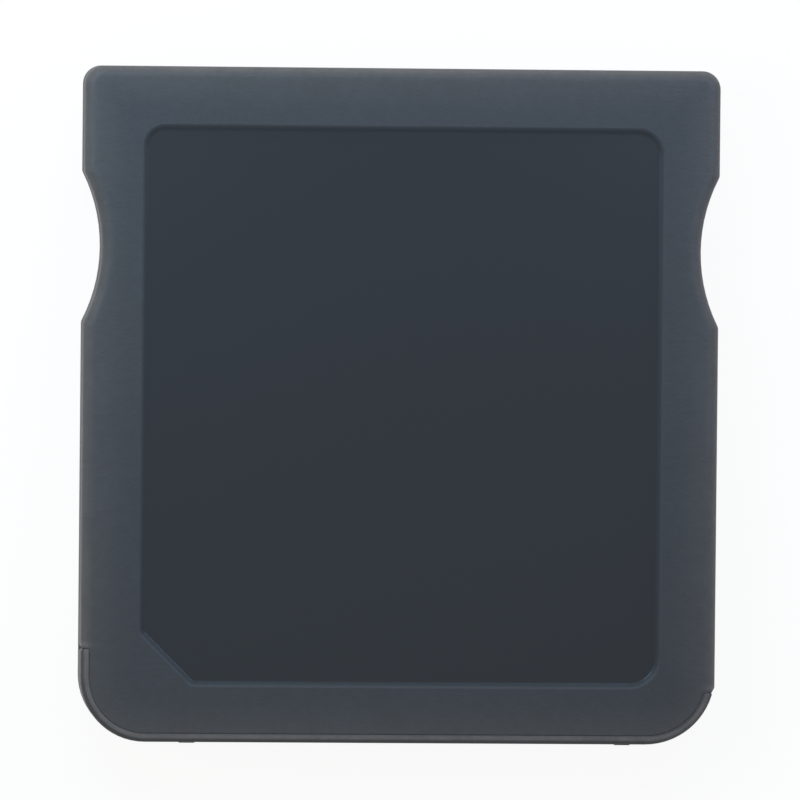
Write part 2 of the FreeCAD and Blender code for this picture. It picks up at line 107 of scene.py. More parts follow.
class Wiring:
    """Adds nodes to one shader tree and joins them."""

    def __init__(self, tree: bpy.types.NodeTree) -> None:
        """Keeps the tree that the nodes go into."""
        self.tree = tree

    def feed(self, socket: Socket, source: Feed) -> None:
        """Joins an input to the output that feeds it, or sets its constant.

        Args:
            socket: The input.
            source: An output of another node, or the constant.
        """
        if isinstance(source, Socket):
            self.tree.links.new(source, socket)
        else:
            socket.default_value = source

    def feed_all(self, node: bpy.types.Node, inputs: Inputs) -> None:
        """Feeds inputs of a node, by their names or numbers."""
        for key, source in inputs.items():
            self.feed(node.inputs[key], source)

    def add(self, kind: str, inputs: Inputs | None = None, **settings: object) -> bpy.types.Node:
        """Adds one node.

        Args:
            kind: Type of the node, without the start that all shader nodes share.
            inputs: What feeds each input, by the input's name or number.
            **settings: Properties of the node itself.

        Returns:
            The new node.
        """
        node = self.tree.nodes.new("ShaderNode" + kind)
        for name, value in settings.items():
            setattr(node, name, value)
        self.feed_all(node, inputs or {})
        return node

    def maths(self, operation: str, first: Feed, second: Feed = 0.0) -> Socket:
        """Output of a sum on one or two values."""
        return self.add("Math", {0: first, 1: second}, operation=operation).outputs[0]

    def scaled(self, vector: Feed, share: Feed) -> Socket:
        """A vector or colour times a value."""
        return self.add("VectorMath", {0: vector, "Scale": share}, operation="SCALE").outputs[0]

    def step(self, value: Feed, low: float, high: float, start: float = 0.0, end: float = 1.0) -> Socket:
        """Goes smoothly from one value to another as its input crosses a range.

        Args:
            value: The input.
            low: Where the crossing starts.
            high: Where it ends.
            start: Result below the range.
            end: Result above it.

        Returns:
            The output socket.
        """
        bounds = {"Value": value, "From Min": low, "From Max": high, "To Min": start, "To Max": end}
        return self.add("MapRange", bounds, interpolation_type="SMOOTHSTEP").outputs[0]

    def mix(self, share: Feed, first: Feed, second: Feed) -> Socket:
        """Colour between two others."""
        return self.add("Mix", {0: share, 6: first, 7: second}, data_type="RGBA").outputs[2]

    def noise(self, place: Feed, scale: Feed, detail: float, roughness: float = 0.5) -> Socket:
        """Cloudy noise of a scale in patches to the metre."""
        inputs = {"Vector": place, "Scale": scale, "Detail": detail, "Roughness": roughness}
        return self.add("TexNoise", inputs).outputs["Fac"]

    def place(self) -> Socket:
        """Place on the piece, in the frame of the card."""
        return self.add("TexCoord").outputs["Object"]

    def along(self, axis: str, vector: Feed) -> Socket:
        """One part of a vector, by the name of its axis."""
        return self.add("SeparateXYZ", {0: vector}).outputs[axis]

    def facing_up(self) -> Socket:
        """Upward part of the surface's own direction, from minus one to one."""
        return self.along("Z", self.add("NewGeometry").outputs["Normal"])

    def relief(self, height: Feed, depth: float, normal: Feed) -> Socket:
        """Normal of a surface with a relief of a depth, on top of another normal."""
        inputs = {"Strength": 1.0, "Distance": depth, "Height": height, "Normal": normal}
        return self.add("Bump", inputs).outputs[0]


class Effect:
    """A shader node group that is built once and placed in each material with its own values."""

    name: ClassVar[str]
    inputs: ClassVar[dict[str, str]]
    outputs: ClassVar[dict[str, str]]

    def build(self, wiring: Wiring, given: dict[str, Socket]) -> dict[str, Socket]:
        """Adds the nodes of the group.

        Args:
            wiring: Wiring of the group's own tree.
            given: The group's inputs, by name.

        Returns:
            What feeds each of the group's outputs, by name.
        """
        raise NotImplementedError

    def group(self) -> bpy.types.NodeTree:
        """Finds the group, or makes it on first use.

        Returns:
            The node group.
        """
        made = bpy.data.node_groups.get(self.name)
        if made:
            return made
        made = bpy.data.node_groups.new(self.name, "ShaderNodeTree")
        for way, sockets in (("INPUT", self.inputs), ("OUTPUT", self.outputs)):
            for label, kind in sockets.items():
                made.interface.new_socket(label, in_out=way, socket_type="NodeSocket" + kind)
        entry = made.nodes.new("NodeGroupInput")
        leave = made.nodes.new("NodeGroupOutput")
        wiring = Wiring(made)
        given = {label: entry.outputs[label] for label in self.inputs}
        wiring.feed_all(leave, self.build(wiring, given))
        return made

    def put(self, wiring: Wiring, values: dict[str, Feed]) -> dict[str, Socket]:
        """Places the group in a material.

        Args:
            wiring: Wiring of the material.
            values: What feeds each input, by name.

        Returns:
            The outputs, by name.
        """
        node = wiring.add("Group", values, node_tree=self.group())
        return {label: node.outputs[label] for label in self.outputs}


class MouldGrain(Effect):
    """Grain that a spark-eroded mould leaves on plastic: fine pits, and faint clouds in the tone."""

    name = "Mould grain"
    inputs = {"Place": "Vector", "Grain Scale": "Float", "Cloud Scale": "Float"}
    outputs = {"Height": "Float", "Mottle": "Float", "Clouds": "Float"}
    pit_share: ClassVar[float] = 0.5
    mottle_share: ClassVar[float] = 0.35

    def build(self, wiring: Wiring, given: dict[str, Socket]) -> dict[str, Socket]:
        """Joins the noises of the grain.

        Args:
            wiring: Wiring of the group's own tree.
            given: The group's inputs, by name.

        Returns:
            Height is fine noise pitted by cells of the same scale, the mottle is noise a third as fine,
            and the clouds are slow noise.
        """
        place, scale = given["Place"], given["Grain Scale"]
        fine = wiring.noise(place, scale, detail=2.0, roughness=0.6)
        cells = wiring.add("TexVoronoi", {"Vector": place, "Scale": scale}, feature="F1")
        pits = wiring.maths("MULTIPLY", cells.outputs["Distance"], self.pit_share)
        mottle = wiring.noise(place, wiring.maths("MULTIPLY", scale, self.mottle_share), detail=1.0)
        clouds = wiring.noise(place, given["Cloud Scale"], detail=3.0, roughness=0.55)
        return {"Height": wiring.maths("ADD", fine, pits), "Mottle": mottle, "Clouds": clouds}


class RoundedEdges(Effect):
    """Edges softened by the small radius that no tool leaves out."""

    name = "Rounded edges"
    inputs = {"Radius": "Float"}
    outputs = {"Normal": "Vector"}

    def build(self, wiring: Wiring, given: dict[str, Socket]) -> dict[str, Socket]:
        """The normal is a mean over the radius."""
        return {"Normal": wiring.add("Bevel", {"Radius": given["Radius"]}, samples=6).outputs["Normal"]}


class EdgeWearAndHighlight(Effect):
    """Mask of the outer edges, broken up in patches: scuffing, and a painted highlight where light catches
    them.
    """

    name = "Worn edges"
    inputs = {"Place": "Vector", "Reach": "Float", "Patch Scale": "Float"}
    outputs = {"Wear": "Float"}
    edge_open: ClassVar[Span] = (0.97, 0.65)
    patch_noise: ClassVar[Span] = (0.25, 0.6)
    patch_share: ClassVar[Span] = (0.7, 1.0)

    def build(self, wiring: Wiring, given: dict[str, Socket]) -> dict[str, Socket]:
        """Joins a mask of edges with one of patches.

        Args:
            wiring: Wiring of the group's own tree.
            given: The group's inputs, by name.

        Returns:
            The mask, for scuffing and painted highlight alike, is where little of the piece lies behind the
            surface, within the reach.
        """
        settings = {"samples": 6, "inside": True, "only_local": True}
        behind = wiring.add("AmbientOcclusion", {"Distance": given["Reach"]}, **settings)
        edge = wiring.step(behind.outputs["AO"], *self.edge_open)
        patches = wiring.noise(given["Place"], given["Patch Scale"], detail=2.0)
        broken = wiring.step(patches, *self.patch_noise, *self.patch_share)
        return {"Wear": wiring.maths("MULTIPLY", edge, broken)}


class OutlineInset(Effect):
    """How far a place lies inside the card's outline, a rectangle whose corners are rounder at the nose."""

    name = "Outline inset"
    inputs = {
        "Place": "Vector", "Half Width": "Float", "Half Length": "Float", "Nose Radius": "Float",
        "Grip Radius": "Float",
    }
    outputs = {"Inset": "Float"}

    def build(self, wiring: Wiring, given: dict[str, Socket]) -> dict[str, Socket]:
        """Joins the sums of the distance.

        Args:
            wiring: Wiring of the group's own tree.
            given: The group's inputs, by name.

        Returns:
            With the corner's radius taken off both half sizes, the inset is the radius less the distance
            from that smaller rectangle, which counts as negative inside it.
        """
        place, nose = given["Place"], given["Nose Radius"]
        at_grip = wiring.maths("GREATER_THAN", wiring.along("Y", place), 0.0)
        rounder = wiring.maths("MULTIPLY", at_grip, wiring.maths("SUBTRACT", given["Grip Radius"], nose))
        radius = wiring.maths("ADD", nose, rounder)
        past = []
        for axis, half in (("X", given["Half Width"]), ("Y", given["Half Length"])):
            reach = wiring.maths("SUBTRACT", wiring.maths("ABSOLUTE", wiring.along(axis, place)), half)
            past.append(wiring.maths("ADD", reach, radius))
        squares = [wiring.maths("POWER", wiring.maths("MAXIMUM", reach, 0.0), 2.0) for reach in past]
        outside = wiring.maths("SQRT", wiring.maths("ADD", *squares))
        inside = wiring.maths("MINIMUM", wiring.maths("MAXIMUM", *past), 0.0)
        return {"Inset": wiring.maths("SUBTRACT", wiring.maths("SUBTRACT", radius, outside), inside)}


class DrawnMetal(Effect):
    """Fine lines that rolling leaves along a metal sheet, with faint stains across them."""

    name = "Drawn metal"
    inputs = {"Place": "Vector", "Line Scale": "Float", "Stain Scale": "Float"}
    outputs = {"Lines": "Float", "Stains": "Float"}
    stretch: ClassVar[tuple[float, float, float]] = (1.0, 0.04, 1.0)

    def build(self, wiring: Wiring, given: dict[str, Socket]) -> dict[str, Socket]:
        """Joins the noises of the metal.

        Args:
            wiring: Wiring of the group's own tree.
            given: The group's inputs, by name.

        Returns:
            Lines are noise stretched along Y; stains are slow noise.
        """
        stretched = wiring.add("Mapping", {"Vector": given["Place"], "Scale": self.stretch})
        lines = wiring.noise(stretched.outputs[0], given["Line Scale"], detail=2.0)
        return {"Lines": lines, "Stains": wiring.noise(given["Place"], given["Stain Scale"], detail=3.0)}


@dataclass(frozen=True)
class Finish:
    """A finish of one kind of surface."""

    name: str

    def paint(self, wiring: Wiring, shader: bpy.types.Node) -> None:
        """Feeds the shader's inputs.

        Args:
            wiring: Wiring of the material.
            shader: The material's shader.
        """
        raise NotImplementedError

    @staticmethod
    def carve(wiring: Wiring, shader: bpy.types.Node, height: Feed, depth: float, radius: float) -> None:
        """Feeds the normal: a fine relief over softened edges.

        Args:
            wiring: Wiring of the material.
            shader: The material's shader.
            height: Height of the relief, in units of its depth.
            depth: Depth of the relief.
            radius: Radius of the softened edges.
        """
        rounded = RoundedEdges().put(wiring, {"Radius": radius})["Normal"]
        wiring.feed(shader.inputs["Normal"], wiring.relief(height, depth, rounded))

    def material(self) -> bpy.types.Material:
        """Makes the material of the finish.

        Returns:
            The material.
        """
        made = bpy.data.materials.new(self.name)
        made.use_nodes = True
        made.node_tree.nodes.clear()
        wiring = Wiring(made.node_tree)
        shader = wiring.add("BsdfPrincipled")
        wiring.add("OutputMaterial", {"Surface": shader.outputs[0]})
        self.paint(wiring, shader)
        return made

    def coat(self, pieces: Iterable[bpy.types.Object]) -> None:
        """Gives the finish to pieces.

        Args:
            pieces: Objects of the frame or of this scene.
        """
        made = self.material()
        for piece in pieces:
            piece.data.materials.clear()
            piece.data.materials.append(made)
            log.info("%s: %s", piece.name, self.name)

    def dress(self, names: Iterable[str]) -> None:
        """Gives the finish to solids of the frame, by name."""
        self.coat([frame["nodes"][name] for name in names])


@dataclass(frozen=True)
class MouldedPlastic(Finish):
    """Matte plastic or resin with the grain of its mould and paler, smoother edges, partly scuffing and
    partly a painted highlight.
    """

    colour: Colour
    # Paler colour of the edges: partly scuffing, partly a painted highlight where light catches them.
    wear_and_highlight_colour: Colour
    roughness: float
    roughness_spread: float = 0.03
    specular: float = 0.3
    grain_scale: float = 6000.0
    grain_depth: float = 0.012 * MM
    mottle: float = 0.04
    cloud_scale: float = 260.0
    clouds: float = 0.05
    edge_radius: float = 0.05 * MM
    edge_mask_reach: float = 0.5 * MM
    edge_mask_patch_scale: float = 900.0
    wear_shine: float = 0.1

    def bare_share(self, wiring: Wiring, place: Socket) -> Feed:
        """Share of the plain mould face, one where the grain and the tone are the plastic's own."""
        return 1.0

    def wear_and_highlight_mask(self, wiring: Wiring, place: Socket, wear_and_highlight: Socket) -> Socket:
        """Mask of all edges, for scuffing and painted highlight alike."""
        return wear_and_highlight

    def paint(self, wiring: Wiring, shader: bpy.types.Node) -> None:
        """Mottle and clouds vary the tone, and the edges are smoother and paler: partly scuffing, partly a
        painted highlight.

        Args:
            wiring: Wiring of the material.
            shader: The material's shader.
        """
        place = wiring.place()
        scales = {"Place": place, "Grain Scale": self.grain_scale, "Cloud Scale": self.cloud_scale}
        grain = MouldGrain().put(wiring, scales)
        reach = {"Place": place, "Reach": self.edge_mask_reach, "Patch Scale": self.edge_mask_patch_scale}
        wear_and_highlight = self.wear_and_highlight_mask(wiring, place, EdgeWearAndHighlight().put(wiring, reach)["Wear"])
        bare = self.bare_share(wiring, place)

        mottle = wiring.step(grain["Mottle"], *FINE_NOISE, -self.mottle, self.mottle)
        clouds = wiring.step(grain["Clouds"], *SLOW_NOISE, 1.0 - self.clouds, 1.0 + self.clouds)
        # Painted highlight and scuffing: the edge mask mixes in the paler edge colour.
        plain = wiring.mix(wear_and_highlight, self.colour, self.wear_and_highlight_colour)
        tone = wiring.scaled(plain, wiring.maths("ADD", mottle, clouds))
        spread = (self.roughness - self.roughness_spread, self.roughness + self.roughness_spread)
        dull = wiring.step(grain["Clouds"], *SLOW_NOISE, *spread)
        rough = wiring.maths("SUBTRACT", dull, wiring.maths("MULTIPLY", wear_and_highlight, self.wear_shine))
        self.lay(wiring, shader, bare, tone, rough)
        wiring.feed(shader.inputs["Specular IOR Level"], self.specular)
        height = wiring.maths("MULTIPLY", grain["Height"], bare)
        self.carve(wiring, shader, height, self.grain_depth, self.edge_radius)

    def lay(self, wiring: Wiring, shader: bpy.types.Node, bare: Feed, tone: Socket, rough: Socket) -> None:
        """Feeds the colour and the roughness."""
        wiring.feed_all(shader, {"Base Color": tone, "Roughness": rough})


@dataclass(frozen=True)
class CasingPlastic(MouldedPlastic):
    """Plastic of the casing, smoother and darker on the floor of the label recess, with that dark tone
    carried up the recess walls as painted shade, and with painted highlights along the outline.
    """

    label_level: float = 0.0
    label_reach: float = 0.03 * MM
    # How high the floor's dark tone climbs the recess walls as painted shade.
    label_shade_climb: float = 0.15 * MM
    label_inset: float = 2.8 * MM
    label_colour: Colour = (0.0, 0.0, 0.0, 1.0)
    label_roughness: float = 0.28
    label_foot: float = 0.02
    half_size: tuple[float, float] = (0.0, 0.0)
    nose_radius: float = 3.5 * MM
    grip_radius: float = 0.95 * MM
    # Where the paler edges run: partly scuffing, partly a painted highlight, the fringe of light caught
    # along the outline.
    wear_highlight_from: tuple[float, float] = (-1.0, -1.0)
    wear_highlight_from_fade: float = 0.3 * MM
    wear_highlight_crest: float = 0.0
    wear_highlight_band: float = 1.5 * MM
    wear_highlight_fade: float = 1.1 * MM
    wear_highlight_above: Span = (2.2 * MM, 2.9 * MM)
    foot_below: Span = (0.2 * MM, 0.6 * MM)
    foot_band: Span = (0.3 * MM, 0.8 * MM)
    # A wider, fainter paler band along the outline: partly handling marks, partly painted highlight.
    handled_highlight_band: float = 2.6 * MM
    handled_highlight_share: float = 0.165

    def inset(self, wiring: Wiring, place: Socket) -> Socket:
        """Measures how far a place lies inside the outline.

        Args:
            wiring: Wiring of the material.
            place: Place on the piece.

        Returns:
            The distance.
        """
        sizes = {
            "Place": place, "Half Width": self.half_size[0], "Half Length": self.half_size[1],
            "Nose Radius": self.nose_radius, "Grip Radius": self.grip_radius,
        }
        return OutlineInset().put(wiring, sizes)["Inset"]

    def bare_share(self, wiring: Wiring, place: Socket) -> Feed:
        """Finds what lies outside the label recess.

        Args:
            wiring: Wiring of the material.
            place: Place on the piece.

        Returns:
            Nought on the floor of the recess, rising to one with the square of the height up its sloped
            walls, so that the floor's dark tone paints shade on them, and one elsewhere.
        """
        height = wiring.along("Z", place)
        above = wiring.step(height, self.label_level - self.label_reach, self.label_level)
        # Painted shade: the floor's dark tone climbs the recess walls, fading out with the square of the
        # height.
        climb = wiring.step(height, self.label_level, self.label_level + self.label_shade_climb)
        below = wiring.maths("SUBTRACT", 1.0, wiring.maths("MULTIPLY", climb, climb))
        inset = self.inset(wiring, place)
        within = wiring.step(inset, self.label_inset - self.label_reach, self.label_inset)
        floor = wiring.maths("MULTIPLY", wiring.maths("MULTIPLY", above, below), within)
        return wiring.maths("SUBTRACT", 1.0, floor)

    def wear_and_highlight_mask(self, wiring: Wiring, place: Socket, wear_and_highlight: Socket) -> Socket:
        """Keeps the paler edges, partly scuffing and partly a painted highlight, to the outline, clear of
        the label recess, the seam and what the rim guards.

        Args:
            wiring: Wiring of the material.
            place: Place on the piece.
            wear_and_highlight: Mask of all edges, for scuffing and painted highlight alike.

        Returns:
            The paler upper edges within a band of the crest and the paler foot along the outline, or
            the fainter paleness of handling in a wider band; both are partly scuffing and partly a painted
            highlight. The first ends at a line across the card that joins the two places where the rim
            ends.
        """
        inset = self.inset(wiring, place)
        off_crest = wiring.maths("ABSOLUTE", wiring.maths("SUBTRACT", inset, self.wear_highlight_crest))
        band = wiring.step(off_crest, self.wear_highlight_band, self.wear_highlight_band + self.wear_highlight_fade, 1.0, 0.0)
        left, right = self.wear_highlight_from
        slope = (right - left) / (2 * self.half_size[0])
        slant = wiring.maths("MULTIPLY", wiring.along("X", place), slope)
        past = wiring.maths("SUBTRACT", wiring.along("Y", place), slant)
        end = (left + right) / 2
        clear = wiring.maths("MULTIPLY", band, wiring.step(past, end, end + self.wear_highlight_from_fade))
        height = wiring.along("Z", place)
        upper = wiring.maths("MULTIPLY", clear, wiring.step(height, *self.wear_highlight_above))
        outer = wiring.step(inset, *self.foot_band, 1.0, 0.0)
        foot = wiring.maths("MULTIPLY", outer, wiring.step(height, *self.foot_below, 1.0, 0.0))
        # Painted highlight with scuffing: the edge mask kept to the upper band and the foot, then the wider
        # faint band.
        worn_and_lit = wiring.maths("MULTIPLY", wear_and_highlight, wiring.maths("MAXIMUM", upper, foot))
        handled_highlight = wiring.step(inset, 0.0, self.handled_highlight_band, self.handled_highlight_share, 0.0)
        return wiring.maths("MAXIMUM", worn_and_lit, handled_highlight)

    def lay(self, wiring: Wiring, shader: bpy.types.Node, bare: Feed, tone: Socket, rough: Socket) -> None:
        """Feeds the colour, with the recess's own tone, and the roughness, with that of its floor.

        Args:
            wiring: Wiring of the material.
            shader: The material's shader.
            bare: Share of the plain mould face.
            tone: Colour of the plain mould face.
            rough: Roughness of the plain mould face.
        """
        off_floor = wiring.step(bare, 0.0, self.label_foot)
        floor = wiring.step(off_floor, 0.0, 1.0, self.label_roughness, 0.0)
        dull = wiring.maths("MULTIPLY", rough, off_floor)
        wiring.feed_all(shader, {
            "Base Color": wiring.mix(bare, self.label_colour, tone),
            "Roughness": wiring.maths("ADD", dull, floor),
        })


@dataclass(frozen=True)
class Metal(Finish):
    """Bare or plated metal with rolling lines and faint stains."""

    colour: Colour
    stain_colour: Colour
    roughness: float
    line_scale: float = 9000.0
    line_depth: float = 0.002 * MM
    stain_scale: float = 500.0
    stain_noise: Span = (0.45, 0.7)
    stain_dulling: float = 0.12
    edge_radius: float = 0.03 * MM

    def paint(self, wiring: Wiring, shader: bpy.types.Node) -> None:
        """Stains dull the metal, and its lines are a slight relief.

        Args:
            wiring: Wiring of the material.
            shader: The material's shader.
        """
        scales = {"Place": wiring.place(), "Line Scale": self.line_scale, "Stain Scale": self.stain_scale}
        drawn = DrawnMetal().put(wiring, scales)
        stain = wiring.step(drawn["Stains"], *self.stain_noise)
        dull = wiring.maths("MULTIPLY", stain, self.stain_dulling)
        wiring.feed_all(shader, {
            "Base Color": wiring.mix(stain, self.colour, self.stain_colour),
            "Roughness": wiring.maths("ADD", dull, self.roughness),
            "Metallic": 1.0,
        })
        self.carve(wiring, shader, drawn["Lines"], self.line_depth, self.edge_radius)


@dataclass(frozen=True)
class SolderMask(Finish):
    """Lacquer on glass cloth: the weave shows faintly through it, and the board's cut edges are bare."""

    colour: Colour
    thread_colour: Colour
    edge_colour: Colour
    roughness: float
    edge_roughness: float = 0.8
    edge_upright: Span = (0.6, 0.4)
    edge_radius: float = 0.03 * MM
    thread_pitch: float = 0.45 * MM
    thread_rise: Span = (-0.8, 0.8)
    thread_share: float = 0.5
    weave_depth: float = 0.004 * MM
    cloud_scale: float = 300.0
    clouds: float = 0.12

    def paint(self, wiring: Wiring, shader: bpy.types.Node) -> None:
        """The weave is the product of two sine waves, along X and Y; the edges are the upright faces.

        Args:
            wiring: Wiring of the material.
            shader: The material's shader.
        """
        place = wiring.place()
        turns = 2 * math.pi / self.thread_pitch
        waves = []
        for axis in "XY":
            angle = wiring.maths("MULTIPLY", wiring.along(axis, place), turns)
            waves.append(wiring.maths("SINE", angle))
        weave = wiring.maths("MULTIPLY", *waves)
        threads = wiring.step(weave, *self.thread_rise, 0.0, self.thread_share)
        noise = wiring.noise(place, self.cloud_scale, detail=3.0)
        clouds = wiring.step(noise, *SLOW_NOISE, 1.0 - self.clouds, 1.0 + self.clouds)
        lacquer = wiring.scaled(wiring.mix(threads, self.colour, self.thread_colour), clouds)
        edge = wiring.step(wiring.maths("ABSOLUTE", wiring.facing_up()), *self.edge_upright)
        wiring.feed_all(shader, {
            "Base Color": wiring.mix(edge, lacquer, self.edge_colour),
            "Roughness": wiring.step(edge, 0.0, 1.0, self.roughness, self.edge_roughness),
        })
        self.carve(wiring, shader, weave, self.weave_depth, self.edge_radius)


@dataclass(frozen=True)
class EndTerminals(Finish):
    """Ceramic part with a tinned cap on each end along X."""

    colour: Colour
    top_colour: Colour
    tin_colour: Colour
    terminal_length: float
    middle: float = 0.0
    half_length: float = 0.0
    soft_border: float = 0.01 * MM
    roughness: float = 0.55
    tin_roughness: float = 0.36
    top_facing: Span = (0.5, 0.9)
    grain_scale: float = 9000.0
    grain_depth: float = 0.004 * MM
    mottle: float = 0.15
    edge_radius: float = 0.03 * MM

    def dress(self, names: Iterable[str]) -> None:
        """Gives each solid the finish with its own middle and length.

        Args:
            names: Names of the solids.
        """
        for name in names:
            low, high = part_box(name)
            sizes = {"middle": (low.x + high.x) / 2, "half_length": (high.x - low.x) / 2}
            replace(self, name=f"{self.name} {name}", **sizes).coat([frame["nodes"][name]])

    def paint(self, wiring: Wiring, shader: bpy.types.Node) -> None:
        """Caps are where the distance from the middle passes the body; the top may have a glaze.

        Args:
            wiring: Wiring of the material.
            shader: The material's shader.
        """
        place = wiring.place()
        grain = MouldGrain().put(wiring, {"Place": place, "Grain Scale": self.grain_scale})
        away = wiring.maths("ABSOLUTE", wiring.maths("SUBTRACT", wiring.along("X", place), self.middle))
        start = self.half_length - self.terminal_length
        cap = wiring.step(away, start - self.soft_border, start)
        top = wiring.step(wiring.facing_up(), *self.top_facing)
        mottle = wiring.step(grain["Mottle"], *FINE_NOISE, 1.0 - self.mottle, 1.0 + self.mottle)
        body = wiring.scaled(wiring.mix(top, self.colour, self.top_colour), mottle)
        wiring.feed_all(shader, {
            "Base Color": wiring.mix(cap, body, self.tin_colour),
            "Metallic": cap,
            "Roughness": wiring.step(cap, 0.0, 1.0, self.roughness, self.tin_roughness),
        })
        self.carve(wiring, shader, grain["Height"], self.grain_depth, self.edge_radius)


@dataclass(frozen=True)
class LiddedPackage(Finish):
    """Ceramic package with a plated lid."""

    colour: Colour
    lid_colour: Colour
    lid_level: float = 0.0
    lid_border: float = 0.01 * MM
    lid_noise: Span = (0.4, 0.7)
    roughness: float = 0.6
    lid_roughness: float = 0.3
    line_scale: float = 9000.0
    line_depth: float = 0.002 * MM
    stain_scale: float = 700.0
    stains: float = 0.2
    edge_radius: float = 0.05 * MM

    def paint(self, wiring: Wiring, shader: bpy.types.Node) -> None:
        """The lid is what stands above a level.

        Args:
            wiring: Wiring of the material.
            shader: The material's shader.
        """
        place = wiring.place()
        scales = {"Place": place, "Line Scale": self.line_scale, "Stain Scale": self.stain_scale}
        drawn = DrawnMetal().put(wiring, scales)
        lid = wiring.step(wiring.along("Z", place), self.lid_level, self.lid_level + self.lid_border)
        clouds = wiring.step(drawn["Stains"], *SLOW_NOISE, 1.0 - self.stains, 1.0 + self.stains)
        stains = wiring.step(drawn["Stains"], *self.lid_noise, 1.0, 1.0 - self.stains)
        ceramic = wiring.scaled(self.colour[:3], clouds)
        plate = wiring.scaled(self.lid_colour[:3], stains)
        wiring.feed_all(shader, {
            "Base Color": wiring.mix(lid, ceramic, plate),
            "Metallic": lid,
            "Roughness": wiring.step(lid, 0.0, 1.0, self.roughness, self.lid_roughness),
        })
        self.carve(wiring, shader, drawn["Lines"], self.line_depth, self.edge_radius)


@dataclass(frozen=True)
class Plating:
    """Metals that several sub-assemblies share."""

    tin: Metal = Metal(
        name="tin plating", colour=(0.6, 0.59, 0.56, 1.0), stain_colour=(0.48, 0.47, 0.45, 1.0),
        roughness=0.34,
    )
    gold: Metal = Metal(
        name="gold plating", colour=(0.8, 0.56, 0.24, 1.0), stain_colour=(0.62, 0.42, 0.2, 1.0),
        roughness=0.28,
    )
    solder: Metal = replace(tin, name="solder", roughness=0.22, line_depth=0.0005 * MM)


def surface_piece(name: str, points: np.ndarray, closed_path: bool) -> bpy.types.Object:
    """Makes one piece of closed surfaces, each a profile carried along a path.

    Args:
        name: Name of the piece.
        points: Points of shape (surfaces, path, profile, 3). The profile runs round to its start, and
            turns anticlockwise to someone who looks back along the path.
        closed_path: Whether the path runs round to its start; otherwise flat ends close it.

    Returns:
        The piece, riding on the card.
    """
    surfaces, path, profile = points.shape[:3]
    index = np.arange(surfaces * path * profile).reshape(surfaces, path, profile)
    ahead = np.roll(index, -1, axis=1)
    beside = np.roll(index, -1, axis=2)
    corner = np.roll(ahead, -1, axis=2)
    quads = np.stack([index, ahead, corner, beside], axis=-1)
    if not closed_path:
        quads = quads[:, :-1]
    faces = quads.reshape(-1, 4).tolist()
    if not closed_path:
        faces += index[:, 0].tolist() + index[:, -1, ::-1].tolist()
    mesh = bpy.data.meshes.new(name)
    mesh.from_pydata(points.reshape(-1, 3).tolist(), [], faces)
    mesh.validate()
    piece = bpy.data.objects.new(name, mesh)
    bpy.context.scene.collection.objects.link(piece)
    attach(piece, BODY)
    return piece


@dataclass(frozen=True)
class Soldering:
    """Joints between the board and what stands on it."""

    tin: Finish
    wet_height: float = 0.1 * MM
    spread: float = 0.1 * MM
    hug: float = 0.004 * MM
    least_share: float = 0.15
    corner_steps: int = 4
    meniscus_steps: int = 6

    def joints(self, name: str, feet: np.ndarray) -> None:
        """Makes the joints of a group of feet, and dresses them.

        Each is a meniscus, a quarter circle that is hollow to the outside, carried round the foot's
        outline with its corners rounded. Its size follows the cosine of the angle from the toe, so the
        joint is full at the toe and thin under the part.

        Args:
            name: Name of the piece.
            feet: One row a foot: middle in X and Y, half size in X and Y, level of the board and the
                direction of the toe in radians.
        """
        corners, quarter = 4, math.pi / 2
        corner = np.repeat(np.arange(corners), self.corner_steps)
        turn = (corner + np.tile(np.linspace(0, 1, self.corner_steps), corners)) * quarter
        bend = np.linspace(0, quarter, self.meniscus_steps)
        out = np.concatenate([[0.0], 1 - np.sin(bend)]) * self.spread
        up = np.concatenate([[0.0], 1 - np.cos(bend)]) * self.wet_height
        x, y, half_x, half_y, level, toe = (column[:, None, None] for column in feet.T)
        middle_turn = turn[None, :, None]
        size = self.least_share + (1 - self.least_share) * (0.5 + 0.5 * np.cos(middle_turn - toe))
        reach = self.hug + size * out
        side_x = np.sign(np.cos((corner + 0.5) * quarter))[None, :, None]
        side_y = np.sign(np.sin((corner + 0.5) * quarter))[None, :, None]
        points = np.stack([
            x + side_x * half_x + reach * np.cos(middle_turn),
            y + side_y * half_y + reach * np.sin(middle_turn),
            level + size * up,
        ], axis=-1)
        piece = surface_piece(name, points, closed_path=True)
        piece.data.polygons.foreach_set("use_smooth", np.ones(len(piece.data.polygons), bool))
        self.tin.coat([piece])


